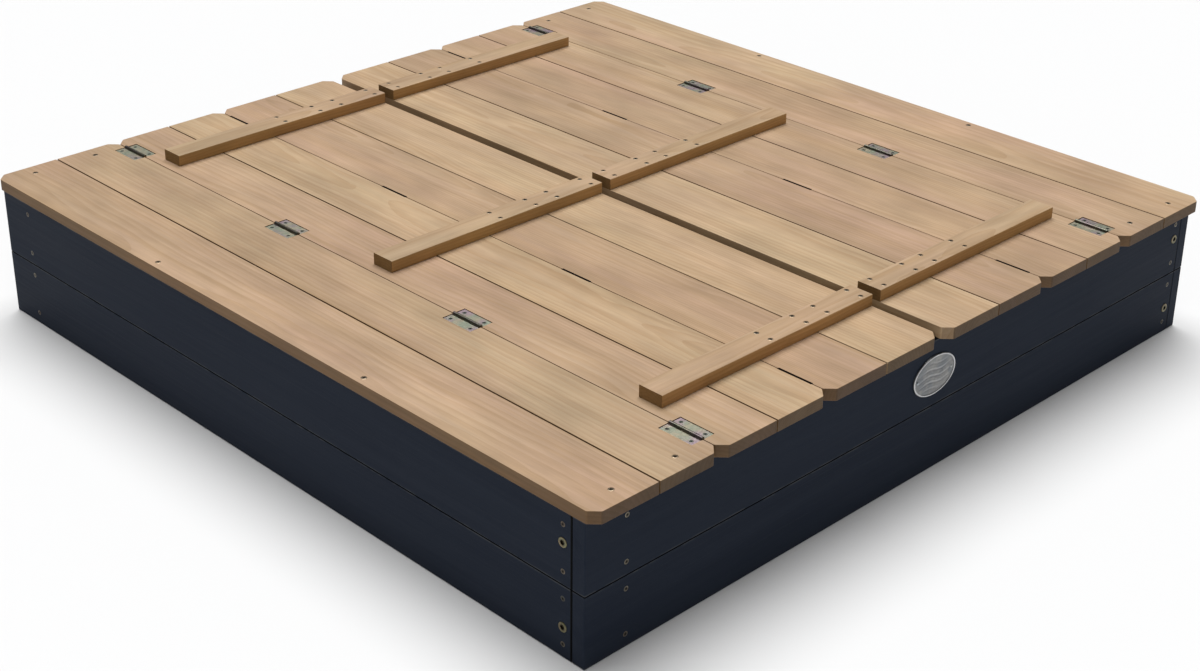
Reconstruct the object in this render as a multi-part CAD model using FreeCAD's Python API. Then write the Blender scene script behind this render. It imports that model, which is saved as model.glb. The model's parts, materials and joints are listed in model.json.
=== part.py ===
import FreeCAD, Part
import math
import os

# A square wooden sandbox whose cover folds out into two benches.
# Millimetres, +Z up, origin on the ground under the middle of the box.
# +X is east, +Y is the back, and the name plate is on the front wall, facing -Y.
#
# The box is four equal walls of two painted boards, joined round the corners like a pinwheel.
# Each half of the cover is three panels of two boards each, from the outside inwards:
#   ledge     screwed down on the walls
#   seat      hinged to the ledge on its top face, so it turns over and lies on the ledge
#   backrest  hinged to the seat underneath; three battens screwed on it lie over the seat

V = FreeCAD.Vector
ORIGIN = V(0, 0, 0)
X_AXIS = V(1, 0, 0)
Y_AXIS = V(0, 1, 0)
Z_AXIS = V(0, 0, 1)
SIDES = {"west": -1, "east": 1}
TINY = 0.01

# Cover, one half; the other half is its mirror image
LID_LENGTH = 1190.0         # along Y, the length of every cover board
LEDGE_WIDTH = 190.0
SEAT_WIDTH = 180.0
BACK_WIDTH = 204.0
CENTRE_GAP = 16.0           # the finger gap between the two backrests
LID_BOARD_T = 16.0
LID_SEAM = 2.0              # gap between the two boards of a panel
HINGE_SEAM = 1.0            # gap between two panels, along their hinges
LID_CORNER_CUT = 12.0       # in plan, across the four corners of each panel
LID_CORNER_R = 4.0          # rounding of the two edges that the cut leaves
LID_EASE = 0.8              # rounding of the top and bottom edges

# Walls
WALL_ROWS = 2
WALL_BOARD_H = 92.0
WALL_T = 19.0
WALL_EASE = 1.5
SIDE_OVERHANG = 1.5         # the cover beyond the west and east walls
END_OVERHANG = 14.5         # the cover beyond the front and back walls
POST = 28.0                 # square post at each end of each wall
POST_DROP = 3.0             # the post stops this far below the wall's top

# Battens over the cover, and the cleats under the seat
BATTEN_LENGTH = 368.0
BATTEN_WIDTH = 36.0
BATTEN_T = 16.0
BATTEN_END_INSET = 123.0    # from the cover's end to the middle of the outer battens
CLEAT_WIDTH = 35.0
CLEAT_T = 12.0
CLEAT_END_GAP = 15.0        # from the seat's hinge lines to the ends of the cleat

# Hinges: narrow butt hinges let into the wood
HINGE_COUNT = 4
HINGE_LENGTH = 50.0
HINGE_END_INSET = 53.0      # from the cover's end to the middle of the outer hinges
LEAF_WIDTH = 17.5           # from the pin's axis to the leaf's edge
LEAF_T = 1.3
LEAF_SINK = 0.9             # the leaf lies this far below the wood's face
KNUCKLES = 5
KNUCKLE_GAP = 0.35
BARREL_R = 2.5
HINGE_PIN_R = 1.2
HINGE_PIN_FIT = 0.08
HINGE_PIN_HEAD_R = 1.9
HINGE_PIN_HEAD_H = 0.5
AXIS_OUT = 0.3              # the pin's axis lies this far outside the wood's face
BARREL_CLEAR = 0.5
SLOT_WIDTH = 3.8            # cut through both boards beside the barrel
SLOT_END_CLEAR = 0.75
POCKET_FIT = 0.4
HINGE_SCREW_OUT = 11.0      # from the pin's axis
HINGE_SCREW_SPACING = 36.0

# Screw places
WALL_SCREW_INSET = 17.0     # from each board's long edges to the wall screws
BOLT_INSET = 39.0           # from the box's bottom and top to the corner bolts
EDGE_SCREW_Y = 209.0        # the ledge's screws into the west and east walls
BATTEN_SCREW_FIRST = 14.5   # from a back board's inner edge
BATTEN_SCREW_SECOND = 78.0
BATTEN_SCREW_SPREAD = 22.0  # between the two screws of a pair
CLEAT_SCREW_END = 12.0      # from the cleat's end
CLEAT_SCREW_SEAM = 20.0     # from the seam between the seat boards
SCREW_FIT = 0.15            # radial, round every screw, bolt and pin
SCREW_LIP = 0.4             # the straight rim of a countersunk head
HOLE_RUN_OUT = 1.0          # a hole's cutter starts this far outside the face

# Corner bolts, nuts and washers
BOLT_R = 3.0
BOLT_HEAD_R = 6.2
BOLT_HEAD_H = 2.5
BOLT_HEAD_PROUD = 0.8
BOLT_SOCKET_FLATS = 4.0
BOLT_SOCKET_DEPTH = 2.0
BOLT_END_PROUD = 2.5        # beyond the nut
NUT_FLATS = 10.0
NUT_H = 5.0
WASHER_R = 8.0
WASHER_T = 1.6

# Name plate, left blank
PLATE_X = 5.0
PLATE_Z = 136.0
PLATE_HALF_WIDTH = 41.0
PLATE_HALF_HEIGHT = 27.0
PLATE_T = 1.6
PLATE_RIM_WIDTH = 2.5
PLATE_RIM_H = 0.8
PLATE_PIN_SPACING = 66.5
PLATE_PIN_LENGTH = 12.0
PLATE_PIN_R = 0.9
PLATE_PIN_HEAD_R = 2.0
PLATE_PIN_HEAD_H = 1.0

# Worked out from the values above
BACK_EDGE_X = CENTRE_GAP / 2
BACK_HINGE_X = BACK_EDGE_X + BACK_WIDTH
SEAT_HINGE_X = BACK_HINGE_X + SEAT_WIDTH
LID_EDGE_X = SEAT_HINGE_X + LEDGE_WIDTH
LID_END_Y = LID_LENGTH / 2
BOX_X = 2 * (LID_EDGE_X - SIDE_OVERHANG)
BOX_Y = 2 * (LID_END_Y - END_OVERHANG)
WALL_TOP = WALL_ROWS * WALL_BOARD_H
LID_TOP = WALL_TOP + LID_BOARD_T
BATTEN_TOP = LID_TOP + BATTEN_T
CLEAT_BOTTOM = WALL_TOP - CLEAT_T
SEAT_SEAM_X = (BACK_HINGE_X + SEAT_HINGE_X) / 2
BACK_SEAM_X = (BACK_EDGE_X + BACK_HINGE_X) / 2
LEDGE_SEAM_X = (SEAT_HINGE_X + LID_EDGE_X) / 2
HINGE_END_Y = LID_END_Y - HINGE_END_INSET
HINGE_PITCH = 2 * HINGE_END_Y / (HINGE_COUNT - 1)
HINGE_YS = [HINGE_PITCH * i - HINGE_END_Y for i in range(HINGE_COUNT)]
CLEAT_YS = [y + HINGE_PITCH / 2 for y in HINGE_YS[:-1]]
BATTEN_YS = [BATTEN_END_INSET - LID_END_Y, 0.0, LID_END_Y - BATTEN_END_INSET]
WALL_MID_X = BOX_X / 2 - WALL_T / 2
WALL_MID_Y = BOX_Y / 2 - WALL_T / 2


# ---------------------------------------------------------------- shapes

def block(x0, x1, y0, y1, z0, z1):
    """A box between two corners, given in either order."""
    low = V(min(x0, x1), min(y0, y1), min(z0, z1))
    return Part.makeBox(abs(x1 - x0), abs(y1 - y0), abs(z1 - z0), low)


def cylinder(radius, length, start=ORIGIN, direction=Z_AXIS):
    return Part.makeCylinder(radius, length, start, direction)


def turned(profile):
    """The solid that a closed outline of (radius, height) points makes about Z."""
    outline = [V(radius, 0, height) for radius, height in profile]
    outline.append(outline[0])
    return Part.Face(Part.makePolygon(outline)).revolve(ORIGIN, Z_AXIS, 360)


def hexagon(across_flats, height, base_z):
    corner_r = across_flats / 2 / math.cos(math.pi / 6)
    angles = [math.pi / 3 * i for i in range(7)]
    outline = [V(corner_r * math.cos(a), corner_r * math.sin(a), base_z) for a in angles]
    return Part.Face(Part.makePolygon(outline)).extrude(V(0, 0, height))


def flat_edges(solid):
    return [e for e in solid.Edges if e.BoundBox.ZLength < TINY]


def upright_edges(solid, x, reach=TINY):
    """The vertical edges of a box within reach of one x."""
    upright = [e for e in solid.Edges if e.BoundBox.XLength + e.BoundBox.YLength < TINY]
    return [e for e in upright if abs(e.BoundBox.Center.x - x) < reach]


def placed(shape, place):
    copy = shape.copy()
    copy.Placement = place.multiply(copy.Placement)
    return copy


def at(point, turn_axis=Z_AXIS, degrees=0.0):
    return FreeCAD.Placement(point, FreeCAD.Rotation(turn_axis, degrees))


def driven(shape, point, direction):
    """A screw, bolt or its hole, with its head at the point and its tip along direction."""
    return placed(shape, FreeCAD.Placement(point, FreeCAD.Rotation(V(0, 0, -1), direction)))


def save(node, solids):
    shape = solids[0] if len(solids) == 1 else Part.makeCompound(solids)
    shape.exportStep("parts/" + node + ".step")


# ---------------------------------------------------------------- screws and bolts

class Screw:
    """A countersunk wood screw whose head lies in the plane z = 0 and whose tip points down."""

    def __init__(self, length, shank_r, head_r):
        self.length = length
        self.shank_r = shank_r
        self.head_r = head_r
        self.head_h = SCREW_LIP + head_r - shank_r
        self.solid = self.make_solid()
        self.hole = self.make_hole()

    def make_solid(self):
        tip_z = -self.length
        shoulder_z = tip_z + 2 * self.shank_r
        profile = [(0, 0), (self.head_r, 0), (self.head_r, -SCREW_LIP)]
        profile += [(self.shank_r, -self.head_h), (self.shank_r, shoulder_z), (0, tip_z)]
        arm = 0.62 * self.head_r
        half = 0.14 * self.head_r
        depth = 0.6 * self.head_h
        cross = [block(-arm, arm, -half, half, -depth, 1), block(-half, half, -arm, arm, -depth, 1)]
        return turned(profile).cut(cross)

    def make_hole(self):
        head_r = self.head_r + SCREW_FIT
        shank_r = self.shank_r + SCREW_FIT
        bottom = -self.length - SCREW_FIT
        profile = [(0, HOLE_RUN_OUT), (head_r, HOLE_RUN_OUT), (head_r, -SCREW_LIP)]
        profile += [(shank_r, -self.head_h), (shank_r, bottom), (0, bottom)]
        return turned(profile)


WALL_SCREW = Screw(length=WALL_T + 0.7 * POST, shank_r=1.9, head_r=3.3)
LEDGE_SCREW = Screw(length=LID_BOARD_T + 29.0, shank_r=2.0, head_r=3.6)
BATTEN_SCREW = Screw(length=BATTEN_T + LID_BOARD_T - 2.0, shank_r=1.75, head_r=3.3)
CLEAT_SCREW = Screw(length=CLEAT_T + LID_BOARD_T - 4.0, shank_r=1.75, head_r=3.3)
HINGE_SCREW = Screw(length=LID_BOARD_T - 4.0, shank_r=1.3, head_r=2.5)


def corner_bolt():
    """A flat-headed bolt with a hexagon socket; the wall's outer face is z = 0."""
    reach = WALL_T + 2 * POST + WASHER_T + NUT_H + BOLT_END_PROUD
    seat_z = BOLT_HEAD_PROUD - BOLT_HEAD_H
    bevel = BOLT_HEAD_PROUD / 2
    profile = [(0, BOLT_HEAD_PROUD), (BOLT_HEAD_R - bevel, BOLT_HEAD_PROUD)]
    profile += [(BOLT_HEAD_R, BOLT_HEAD_PROUD - bevel), (BOLT_HEAD_R, seat_z)]
    profile += [(BOLT_R, seat_z), (BOLT_R, -reach), (0, -reach)]
    socket = hexagon(BOLT_SOCKET_FLATS, BOLT_SOCKET_DEPTH + 1, BOLT_HEAD_PROUD - BOLT_SOCKET_DEPTH)
    return turned(profile).cut(socket)


def corner_bolt_hole():
    reach = WALL_T + 2 * POST + HOLE_RUN_OUT
    seat_z = BOLT_HEAD_PROUD - BOLT_HEAD_H
    head = cylinder(BOLT_HEAD_R + SCREW_FIT, HOLE_RUN_OUT - seat_z, V(0, 0, seat_z))
    return head.fuse(cylinder(BOLT_R + SCREW_FIT, reach, V(0, 0, -reach)))


def corner_washer():
    bottom = -(WALL_T + 2 * POST + WASHER_T)
    ring = cylinder(WASHER_R, WASHER_T, V(0, 0, bottom))
    return ring.cut(cylinder(BOLT_R + SCREW_FIT, WASHER_T, V(0, 0, bottom)))


def corner_nut():
    bottom = -(WALL_T + 2 * POST + WASHER_T + NUT_H)
    body = hexagon(NUT_FLATS, NUT_H, bottom)
    return body.cut(cylinder(BOLT_R + SCREW_FIT, NUT_H, V(0, 0, bottom)))


# ---------------------------------------------------------------- walls
#
# A wall is drawn with its outer face on y = 0 and its overlapping end at x = 0. It runs along
# +X to its butt end, which meets the inside of the next wall. Turned by quarter turns and put
# at the box's corners, the four walls chase each other round.

def post_xs(length):
    """The middles of a wall's two posts: behind the next wall's post, and at the butt end."""
    return [WALL_T + 1.5 * POST, length - POST / 2]


def wall_screw_heights():
    heights = []
    for row in range(WALL_ROWS):
        bottom = row * WALL_BOARD_H
        heights.append(bottom + WALL_SCREW_INSET)
        heights.append(bottom + WALL_BOARD_H - WALL_SCREW_INSET)
    return heights


def wall_screw_points(length):
    return [V(x, 0, z) for x in post_xs(length) for z in wall_screw_heights()]


def bolt_points(length):
    x = post_xs(length)[1]
    return [V(x, 0, BOLT_INSET), V(x, 0, WALL_TOP - BOLT_INSET)]


def wall_board(length, row):
    board = block(0, length, 0, WALL_T, row * WALL_BOARD_H, (row + 1) * WALL_BOARD_H)
    return board.makeFillet(WALL_EASE, board.Edges)


def wall_post(x):
    half = POST / 2
    post = block(x - half, x + half, WALL_T, WALL_T + POST, 0, WALL_TOP - POST_DROP)
    return post.makeFillet(WALL_EASE, upright_edges(post, x - half) + upright_edges(post, x + half))


def neighbour_bolt_holes():
    """The last wall's bolts run on through this wall's overlapping post, along its length."""
    x = WALL_T + POST
    y = WALL_T + POST / 2
    heights = [BOLT_INSET, WALL_TOP - BOLT_INSET]
    return [cylinder(BOLT_R + SCREW_FIT, POST, V(x, y, z), X_AXIS) for z in heights]


def make_wall(length):
    """The boards, posts and fasteners of one wall, in its own place."""
    screws = [driven(WALL_SCREW.solid, p, Y_AXIS) for p in wall_screw_points(length)]
    holes = [driven(WALL_SCREW.hole, p, Y_AXIS) for p in wall_screw_points(length)]
    bolt_holes = [driven(corner_bolt_hole(), p, Y_AXIS) for p in bolt_points(length)]
    boards = [wall_board(length, row).cut(holes + bolt_holes) for row in range(WALL_ROWS)]
    overlap_x, butt_x = post_xs(length)
    overlap_post = wall_post(overlap_x).cut(holes + neighbour_bolt_holes())
    butt_post = wall_post(butt_x).cut(holes + bolt_holes)
    hardware = {"corner_bolts": corner_bolt(), "corner_washers": corner_washer()}
    hardware["corner_nuts"] = corner_nut()
    pieces = {"boards": boards, "posts": [overlap_post, butt_post], "wall_screws": screws}
    for name, shape in hardware.items():
        pieces[name] = [driven(shape, p, Y_AXIS) for p in bolt_points(length)]
    return pieces


WALLS = {
    "front": (BOX_X - WALL_T, at(V(-BOX_X / 2, -BOX_Y / 2, 0), Z_AXIS, 0)),
    "east": (BOX_Y - WALL_T, at(V(BOX_X / 2, -BOX_Y / 2, 0), Z_AXIS, 90)),
    "back": (BOX_X - WALL_T, at(V(BOX_X / 2, BOX_Y / 2, 0), Z_AXIS, 180)),
    "west": (BOX_Y - WALL_T, at(V(-BOX_X / 2, BOX_Y / 2, 0), Z_AXIS, 270)),
}


def barrel_notches():
    """Room in the top of the front and back walls for the lowest knuckles of the back hinges."""
    inner = BOX_Y / 2 - WALL_T - 1
    outer = HINGE_END_Y + HINGE_LENGTH / 2 + 2
    half = BARREL_R + 1.5
    floor_z = WALL_TOP - AXIS_OUT - BARREL_R - BARREL_CLEAR
    notches = []
    for x_sign in (-1, 1):
        x = x_sign * BACK_HINGE_X
        for y_sign in (-1, 1):
            y0 = y_sign * inner
            y1 = y_sign * outer
            notches.append(block(x - half, x + half, y0, y1, floor_z, WALL_TOP + 1))
    return notches


def ledge_screw_points():
    """Two screws at each end of a ledge, and two more along its outer edge."""
    points = []
    for sign in SIDES.values():
        for y_sign in (-1, 1):
            for x in ((SEAT_HINGE_X + LEDGE_SEAM_X) / 2, (LEDGE_SEAM_X + LID_EDGE_X) / 2):
                points.append(V(sign * x, y_sign * WALL_MID_Y, LID_TOP))
            points.append(V(sign * WALL_MID_X, y_sign * EDGE_SCREW_Y, LID_TOP))
    return points


def ledge_screw_holes():
    return [driven(LEDGE_SCREW.hole, p, V(0, 0, -1)) for p in ledge_screw_points()]


def save_walls():
    fasteners = {"wall_screws": [], "corner_bolts": [], "corner_washers": [], "corner_nuts": []}
    for name, (length, place) in WALLS.items():
        pieces = make_wall(length)
        lower, upper = [placed(board, place) for board in pieces["boards"]]
        upper = upper.cut(ledge_screw_holes() + barrel_notches())
        if name == "front":
            upper = upper.cut(plate_pin_holes())
        save(name + "_wall_lower_board", [lower])
        save(name + "_wall_upper_board", [upper])
        save(name + "_wall_posts", [placed(post, place) for post in pieces["posts"]])
        for kind in fasteners:
            fasteners[kind] += [placed(shape, place) for shape in pieces[kind]]
    for kind, solids in fasteners.items():
        save(kind, solids)


# ---------------------------------------------------------------- name plate

def ellipse_slab(half_width, half_height, thickness):
    ellipse = Part.Ellipse(ORIGIN, half_width, half_height).toShape()
    return Part.Face(Part.Wire([ellipse])).extrude(V(0, 0, thickness))


def plate_place():
    return at(V(PLATE_X, -BOX_Y / 2, PLATE_Z), X_AXIS, 90)


def plate_pin_points():
    return [V(-PLATE_PIN_SPACING / 2, 0, PLATE_T), V(PLATE_PIN_SPACING / 2, 0, PLATE_T)]


def plate_pin():
    profile = [(0, PLATE_PIN_HEAD_H), (0.6 * PLATE_PIN_HEAD_R, 0.8 * PLATE_PIN_HEAD_H)]
    profile += [(PLATE_PIN_HEAD_R, 0.2 * PLATE_PIN_HEAD_H), (PLATE_PIN_HEAD_R, 0)]
    profile += [(PLATE_PIN_R, 0), (PLATE_PIN_R, -PLATE_PIN_LENGTH), (0, -PLATE_PIN_LENGTH)]
    return turned(profile)


def plate_pin_bores():
    depth = PLATE_PIN_LENGTH + SCREW_FIT
    radius = PLATE_PIN_R + SCREW_FIT
    return [cylinder(radius, depth, p - V(0, 0, depth)) for p in plate_pin_points()]


def plate_pin_holes():
    return [placed(bore, plate_place()) for bore in plate_pin_bores()]


def save_plate():
    rim = ellipse_slab(PLATE_HALF_WIDTH, PLATE_HALF_HEIGHT, PLATE_T + PLATE_RIM_H)
    inner_w = PLATE_HALF_WIDTH - PLATE_RIM_WIDTH
    inner_h = PLATE_HALF_HEIGHT - PLATE_RIM_WIDTH
    field = placed(ellipse_slab(inner_w, inner_h, PLATE_RIM_H + 1), at(V(0, 0, PLATE_T)))
    plate = rim.cut([field] + plate_pin_bores())
    save("name_plate", [placed(plate, plate_place())])
    pins = [placed(plate_pin(), at(p)) for p in plate_pin_points()]
    save("name_plate_pins", [placed(pin, plate_place()) for pin in pins])


# ---------------------------------------------------------------- hinges
#
# A hinge is drawn with its pin along Y through the origin and its leaf towards +X, let into
# wood whose face is AXIS_OUT below the pin.

LEAF_TOP = -AXIS_OUT - LEAF_SINK
LEAF_BOTTOM = LEAF_TOP - LEAF_T


def knuckle_span(index):
    pitch = HINGE_LENGTH / KNUCKLES
    start = index * pitch - HINGE_LENGTH / 2
    first_gap = 0 if index == 0 else KNUCKLE_GAP / 2
    last_gap = 0 if index == KNUCKLES - 1 else KNUCKLE_GAP / 2
    return start + first_gap, start + pitch - last_gap


def hinge_screw_points():
    half = HINGE_SCREW_SPACING / 2
    return [V(HINGE_SCREW_OUT, -half, LEAF_TOP), V(HINGE_SCREW_OUT, half, LEAF_TOP)]


def hinge_leaf(first_knuckle):
    """A leaf that has every second knuckle, from the first one given."""
    near = BARREL_R + KNUCKLE_GAP
    half = HINGE_LENGTH / 2
    leaf = block(near, LEAF_WIDTH, -half, half, LEAF_BOTTOM, LEAF_TOP)
    for index in range(first_knuckle, KNUCKLES, 2):
        start, end = knuckle_span(index)
        tube = cylinder(BARREL_R, end - start, V(0, start, 0), Y_AXIS)
        leaf = leaf.fuse([tube, block(0, near, start, end, LEAF_BOTTOM, LEAF_TOP)])
    bore = cylinder(HINGE_PIN_R + HINGE_PIN_FIT, HINGE_LENGTH, V(0, -half, 0), Y_AXIS)
    screw_holes = [driven(HINGE_SCREW.hole, p, V(0, 0, -1)) for p in hinge_screw_points()]
    return leaf.cut([bore] + screw_holes).removeSplitter()


def hinge_pin():
    half = HINGE_LENGTH / 2
    pin = cylinder(HINGE_PIN_R, HINGE_LENGTH, V(0, -half, 0), Y_AXIS)
    head = cylinder(HINGE_PIN_HEAD_R, HINGE_PIN_HEAD_H, V(0, half, 0), Y_AXIS)
    tail = cylinder(HINGE_PIN_HEAD_R, HINGE_PIN_HEAD_H, V(0, -half - HINGE_PIN_HEAD_H, 0), Y_AXIS)
    return pin.fuse([head, tail])


def hinge_cutter():
    """What both boards lose at a hinge: a leaf pocket, barrel room and a slot right through."""
    wide = LEAF_WIDTH + POCKET_FIT
    half = HINGE_LENGTH / 2
    pocket = block(-wide, wide, -half - POCKET_FIT, half + POCKET_FIT, LEAF_BOTTOM, 1)
    end = half + SLOT_END_CLEAR
    barrel = cylinder(BARREL_R + BARREL_CLEAR, 2 * end, V(0, -end, 0), Y_AXIS)
    slot = block(-SLOT_WIDTH / 2, SLOT_WIDTH / 2, -end, end, -LID_BOARD_T - 1, 0)
    return pocket.fuse([barrel, slot])


def hinge_place(axis_x, y, face_z, up, towards):
    """up is 1 on a top face and -1 underneath; towards is the leaf's direction along X."""
    point = V(axis_x, y, face_z + up * AXIS_OUT)
    if up > 0:
        return at(point, Z_AXIS, 0 if towards > 0 else 180)
    return at(point, X_AXIS if towards > 0 else Y_AXIS, 180)


class HingeLine:
    """The hinges along one seam of the cover."""

    def __init__(self, axis_x, face_z, up):
        self.axis_x = axis_x
        self.face_z = face_z
        self.up = up

    def along(self, shape, towards):
        places = [hinge_place(self.axis_x, y, self.face_z, self.up, towards) for y in HINGE_YS]
        return [placed(shape, place) for place in places]

    def cutters(self):
        return self.along(hinge_cutter(), 1)

    def pins(self):
        return self.along(hinge_pin(), 1)

    def leaves(self, towards, first_knuckle):
        return self.along(hinge_leaf(first_knuckle), towards)

    def screws(self, towards):
        screws = [driven(HINGE_SCREW.solid, p, V(0, 0, -1)) for p in hinge_screw_points()]
        return self.along(screws[0], towards) + self.along(screws[1], towards)

    def screw_holes(self, towards):
        holes = [driven(HINGE_SCREW.hole, p, V(0, 0, -1)) for p in hinge_screw_points()]
        return self.along(holes[0], towards) + self.along(holes[1], towards)


def seat_hinges(sign):
    return HingeLine(sign * SEAT_HINGE_X, LID_TOP, 1)


def back_hinges(sign):
    return HingeLine(sign * BACK_HINGE_X, WALL_TOP, -1)


# ---------------------------------------------------------------- cover

def lid_board(sign, inner_x, outer_x, cut_x):
    """One cover board; the two corners at cut_x are cut off in plan, and softly rounded."""
    board = block(sign * inner_x, sign * outer_x, -LID_END_Y, LID_END_Y, WALL_TOP, LID_TOP)
    board = board.makeChamfer(LID_CORNER_CUT, upright_edges(board, sign * cut_x))
    bends = upright_edges(board, sign * cut_x, LID_CORNER_CUT + TINY)
    board = board.makeFillet(LID_CORNER_R, bends)
    return board.makeFillet(LID_EASE, flat_edges(board))


def panel_boards(sign, inner_x, seam_x, outer_x):
    """The inner and the outer board of a panel, with a gap between them at the seam."""
    inner = lid_board(sign, inner_x, seam_x - LID_SEAM / 2, inner_x)
    outer = lid_board(sign, seam_x + LID_SEAM / 2, outer_x, outer_x)
    return inner, outer


def save_ledge(side, sign):
    hinges = seat_hinges(sign)
    inner, outer = panel_boards(sign, SEAT_HINGE_X + HINGE_SEAM / 2, LEDGE_SEAM_X, LID_EDGE_X)
    holes = ledge_screw_holes()
    inner = inner.cut(hinges.cutters() + hinges.screw_holes(sign) + holes)
    save(side + "_ledge_inner_board", [inner])
    save(side + "_ledge_outer_board", [outer.cut(holes)])
    save(side + "_ledge_hinge_leaves", hinges.leaves(sign, 0))
    save(side + "_seat_hinge_pins", hinges.pins())


def save_ledge_fasteners():
    screws = [driven(LEDGE_SCREW.solid, p, V(0, 0, -1)) for p in ledge_screw_points()]
    save("ledge_screws", screws)
    hinge_screws = seat_hinges(-1).screws(-1) + seat_hinges(1).screws(1)
    save("ledge_hinge_screws", hinge_screws)


def cleat_screw_points(sign):
    ends = [BACK_HINGE_X + CLEAT_END_GAP, SEAT_HINGE_X - CLEAT_END_GAP]
    xs = [ends[0] + CLEAT_SCREW_END, SEAT_SEAM_X - CLEAT_SCREW_SEAM]
    xs += [SEAT_SEAM_X + CLEAT_SCREW_SEAM, ends[1] - CLEAT_SCREW_END]
    return [V(sign * x, y, CLEAT_BOTTOM) for x in xs for y in CLEAT_YS]


def make_cleat(sign, y):
    x0 = sign * (BACK_HINGE_X + CLEAT_END_GAP)
    x1 = sign * (SEAT_HINGE_X - CLEAT_END_GAP)
    half = CLEAT_WIDTH / 2
    cleat = block(x0, x1, y - half, y + half, CLEAT_BOTTOM, WALL_TOP)
    lower = [e for e in flat_edges(cleat) if e.BoundBox.ZMax < CLEAT_BOTTOM + TINY]
    return cleat.makeFillet(LID_EASE, lower)


def save_seat(side, sign):
    top = seat_hinges(sign)
    under = back_hinges(sign)
    points = cleat_screw_points(sign)
    holes = [driven(CLEAT_SCREW.hole, p, Z_AXIS) for p in points]
    gap = HINGE_SEAM / 2
    inner, outer = panel_boards(sign, BACK_HINGE_X + gap, SEAT_SEAM_X, SEAT_HINGE_X - gap)
    inner = inner.cut(under.cutters() + under.screw_holes(sign) + holes)
    outer = outer.cut(top.cutters() + top.screw_holes(-sign) + holes)
    save(side + "_seat_inner_board", [inner])
    save(side + "_seat_outer_board", [outer])
    save(side + "_seat_cleats", [make_cleat(sign, y).cut(holes) for y in CLEAT_YS])
    save(side + "_seat_cleat_screws", [driven(CLEAT_SCREW.solid, p, Z_AXIS) for p in points])
    save(side + "_seat_top_leaves", top.leaves(-sign, 1))
    save(side + "_seat_under_leaves", under.leaves(sign, 0))
    save(side + "_seat_hinge_screws", top.screws(-sign) + under.screws(sign))
    save(side + "_back_hinge_pins", under.pins())


def batten_screw_points(sign, y):
    xs = []
    for board_x in (BACK_EDGE_X, BACK_SEAM_X):
        xs += [board_x + BATTEN_SCREW_FIRST, board_x + BATTEN_SCREW_SECOND]
    half = BATTEN_SCREW_SPREAD / 2
    return [V(sign * x, y + dy, BATTEN_TOP) for x in xs for dy in (-half, half)]


def make_batten(sign, y):
    half = BATTEN_WIDTH / 2
    x0 = sign * BACK_EDGE_X
    x1 = sign * (BACK_EDGE_X + BATTEN_LENGTH)
    batten = block(x0, x1, y - half, y + half, LID_TOP, BATTEN_TOP)
    return batten.makeFillet(LID_EASE, batten.Edges)


def save_backrest(side, sign):
    under = back_hinges(sign)
    inner, outer = panel_boards(sign, BACK_EDGE_X, BACK_SEAM_X, BACK_HINGE_X - HINGE_SEAM / 2)
    points = [batten_screw_points(sign, y) for y in BATTEN_YS]
    all_points = points[0] + points[1] + points[2]
    holes = [driven(BATTEN_SCREW.hole, p, V(0, 0, -1)) for p in all_points]
    outer = outer.cut(under.cutters() + under.screw_holes(-sign) + holes)
    save(side + "_back_inner_board", [inner.cut(holes)])
    save(side + "_back_outer_board", [outer])
    for name, y in zip(("front", "middle", "rear"), BATTEN_YS):
        save(side + "_" + name + "_batten", [make_batten(sign, y).cut(holes)])
    screws = [driven(BATTEN_SCREW.solid, p, V(0, 0, -1)) for p in all_points]
    save(side + "_batten_screws", screws)
    save(side + "_back_leaves", under.leaves(-sign, 1))
    save(side + "_back_hinge_screws", under.screws(-sign))


# ---------------------------------------------------------------- build

os.makedirs("parts", exist_ok=True)
save_walls()
save_plate()
save_ledge_fasteners()
for side, sign in SIDES.items():
    save_ledge(side, sign)
    save_seat(side, sign)
    save_backrest(side, sign)
print("cover", 2 * LID_EDGE_X, "x", LID_LENGTH, "x", BATTEN_TOP)
print("seat hinge", SEAT_HINGE_X, LID_TOP + AXIS_OUT, "back hinge", BACK_HINGE_X, WALL_TOP - AXIS_OUT)
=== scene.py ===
# %% [markdown]
# # A square sandbox with a cover that folds out into two benches
#
# The box is four walls of painted boards, and the cover is twelve oiled softwood boards held by
# hinges, screws and six battens. The CAD model already has every board at its true size, with
# its rounded corners, hinge pockets and screw holes. This lesson gives the boards their wood and
# their paint, and makes the hardware and the battens again in finer detail with Geometry Nodes.

# %% Load the CAD model
import json
import math

import bpy
from mathutils import Euler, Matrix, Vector


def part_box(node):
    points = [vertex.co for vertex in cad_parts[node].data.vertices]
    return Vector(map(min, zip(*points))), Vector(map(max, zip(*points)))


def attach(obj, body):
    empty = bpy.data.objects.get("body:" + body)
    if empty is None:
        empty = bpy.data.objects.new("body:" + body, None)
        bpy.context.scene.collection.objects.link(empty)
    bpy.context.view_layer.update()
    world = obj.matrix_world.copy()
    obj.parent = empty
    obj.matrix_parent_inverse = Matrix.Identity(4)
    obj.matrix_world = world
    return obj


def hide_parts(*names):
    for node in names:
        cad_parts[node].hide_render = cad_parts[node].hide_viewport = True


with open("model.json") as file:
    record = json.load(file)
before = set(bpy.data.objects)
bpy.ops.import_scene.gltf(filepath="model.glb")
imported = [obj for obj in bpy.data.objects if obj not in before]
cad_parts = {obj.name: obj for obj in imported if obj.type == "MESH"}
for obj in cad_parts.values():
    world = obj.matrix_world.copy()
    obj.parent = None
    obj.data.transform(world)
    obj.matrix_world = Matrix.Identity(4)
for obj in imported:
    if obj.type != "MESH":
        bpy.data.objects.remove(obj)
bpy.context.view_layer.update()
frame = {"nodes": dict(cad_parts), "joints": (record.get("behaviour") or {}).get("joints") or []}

scene = bpy.context.scene
scene.view_settings.view_transform = "Standard"

# %% [markdown]
# ## Helpers for node trees
#
# Materials and Geometry Nodes are both node trees. One helper adds a node, sets its properties
# and either links or sets its inputs, so each tree below reads as a list of steps.

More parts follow.
